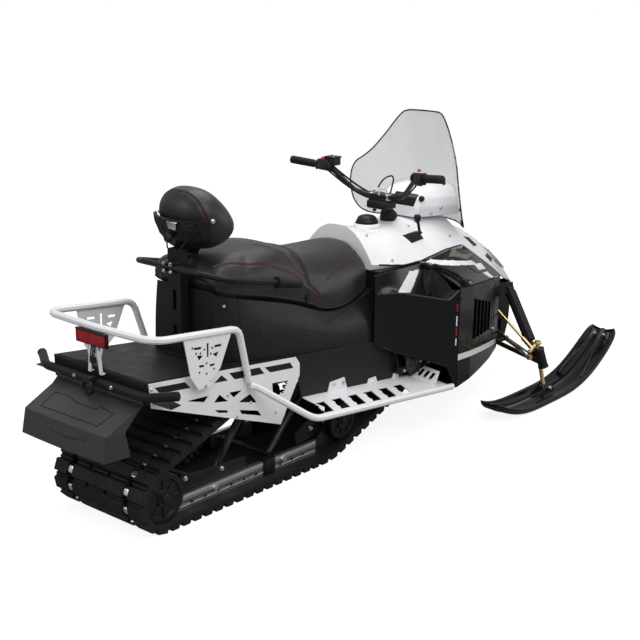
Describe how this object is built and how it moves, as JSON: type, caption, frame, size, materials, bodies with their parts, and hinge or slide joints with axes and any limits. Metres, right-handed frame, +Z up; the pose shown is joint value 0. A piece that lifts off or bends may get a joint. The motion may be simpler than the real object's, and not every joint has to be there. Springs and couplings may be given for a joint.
{
  "type": "utility snowmobile",
  "caption": "Wide-track utility snowmobile with load rack, two-up seat and backrest, windshield, steered skis, slatted running boards and a lugged drive track",
  "frame": {"origin": "on the ground under the middle of the machine's length and width", "axes": "+X forward along the direction of travel, +Y to the rider's left, +Z up"},
  "size_m": [3.185, 1.19, 1.4158],
  "materials": {
    "track": "matte",
    "rear_idler_wheels": "satin",
    "front_idler_wheels": "satin",
    "drive_sprockets": "satin",
    "slide_rails": "satin",
    "tunnel": "matte",
    "side_plate_right": "gloss",
    "side_plate_left": "gloss",
    "running_board_right": "gloss",
    "running_board_left": "gloss",
    "rack": "gloss",
    "tail_lamp": "gloss",
    "rear_bumper": "satin",
    "snow_flap": "satin",
    "seat": "satin",
    "seat_base": "satin",
    "backrest_cushion": "satin",
    "backrest_frame": "satin",
    "console": "gloss",
    "hood": "gloss",
    "headlamp": "gloss",
    "fuel_cap": "satin",
    "gear_lever": "satin",
    "windshield": "gloss",
    "instrument_pod": "gloss",
    "knee_guard_right": "gloss",
    "knee_guard_left": "gloss",
    "side_panel_right": "gloss",
    "side_panel_left": "gloss",
    "shoulder_panel_right": "gloss",
    "shoulder_panel_left": "gloss",
    "engine_block": "matte",
    "lower_hull": "satin",
    "front_frame": "satin",
    "lower_arm_right": "satin",
    "lower_arm_left": "satin",
    "upper_link_right": "gloss",
    "upper_link_left": "gloss",
    "spindle_right": "gloss",
    "spindle_left": "gloss",
    "ski_right": "gloss",
    "ski_left": "gloss",
    "tie_rod_right": "gloss",
    "tie_rod_left": "gloss",
    "handlebar": "satin"
  },
  "bodies": {
    "chassis": {"track": "track", "rear_idler_wheels": "rear_idler_wheels", "front_idler_wheels": "front_idler_wheels", "drive_sprockets": "drive_sprockets", "slide_rails": "slide_rails", "tunnel": "tunnel", "side_plate_right": "side_plate_right", "side_plate_left": "side_plate_left", "running_board_right": "running_board_right", "running_board_left": "running_board_left", "rack": "rack", "tail_lamp": "tail_lamp", "rear_bumper": "rear_bumper", "snow_flap": "snow_flap", "seat": "seat", "seat_base": "seat_base", "backrest_cushion": "backrest_cushion", "backrest_frame": "backrest_frame", "console": "console", "hood": "hood", "headlamp": "headlamp", "fuel_cap": "fuel_cap", "gear_lever": "gear_lever", "windshield": "windshield", "instrument_pod": "instrument_pod", "knee_guard_right": "knee_guard_right", "knee_guard_left": "knee_guard_left", "side_panel_right": "side_panel_right", "side_panel_left": "side_panel_left", "shoulder_panel_right": "shoulder_panel_right", "shoulder_panel_left": "shoulder_panel_left", "engine_block": "engine_block", "lower_hull": "lower_hull", "front_frame": "front_frame", "lower_arm_right": "lower_arm_right", "lower_arm_left": "lower_arm_left", "upper_link_right": "upper_link_right", "upper_link_left": "upper_link_left"},
    "handlebar_body": {"handlebar": "handlebar"},
    "ski_right_body": {"ski_right": "ski_right", "spindle_right": "spindle_right"},
    "ski_left_body": {"ski_left": "ski_left", "spindle_left": "spindle_left"},
    "tie_rod_right_body": {"tie_rod_right": "tie_rod_right"},
    "tie_rod_left_body": {"tie_rod_left": "tie_rod_left"}
  },
  "joints": [
    {"name": "handlebar_steer", "type": "hinge", "parent": "chassis", "child": "handlebar_body", "pos_m": [0.3125, 0, 0.97], "axis": [-0.5, 0, 0.866], "range_deg": [-35, 35]},
    {"name": "ski_right_steer", "type": "hinge", "parent": "chassis", "child": "ski_right_body", "pos_m": [0.9925, -0.505, 0.12], "axis": [-0.2018, 0.2125, 0.9561], "range_deg": [-28.5, 28.5]},
    {"name": "ski_left_steer", "type": "hinge", "parent": "chassis", "child": "ski_left_body", "pos_m": [0.9925, 0.505, 0.12], "axis": [-0.2018, -0.2125, 0.9561], "range_deg": [-28.5, 28.5]},
    {"name": "tie_rod_right_slide", "type": "slide", "parent": "chassis", "child": "tie_rod_right_body", "axis": [-0.2678, -0.951, 0.1548], "range_m": [-0.04, 0.04]},
    {"name": "tie_rod_left_slide", "type": "slide", "parent": "chassis", "child": "tie_rod_left_body", "axis": [0.2678, -0.951, -0.1548], "range_m": [-0.04, 0.04]}
  ],
  "couplings": [
    {"joint": "ski_right_steer", "follows": "handlebar_steer", "ratio": 0.8},
    {"joint": "ski_left_steer", "follows": "handlebar_steer", "ratio": 0.8},
    {"joint": "tie_rod_right_slide", "follows": "handlebar_steer", "m_per_rad": 0.056169},
    {"joint": "tie_rod_left_slide", "follows": "handlebar_steer", "m_per_rad": 0.056169}
  ]
}
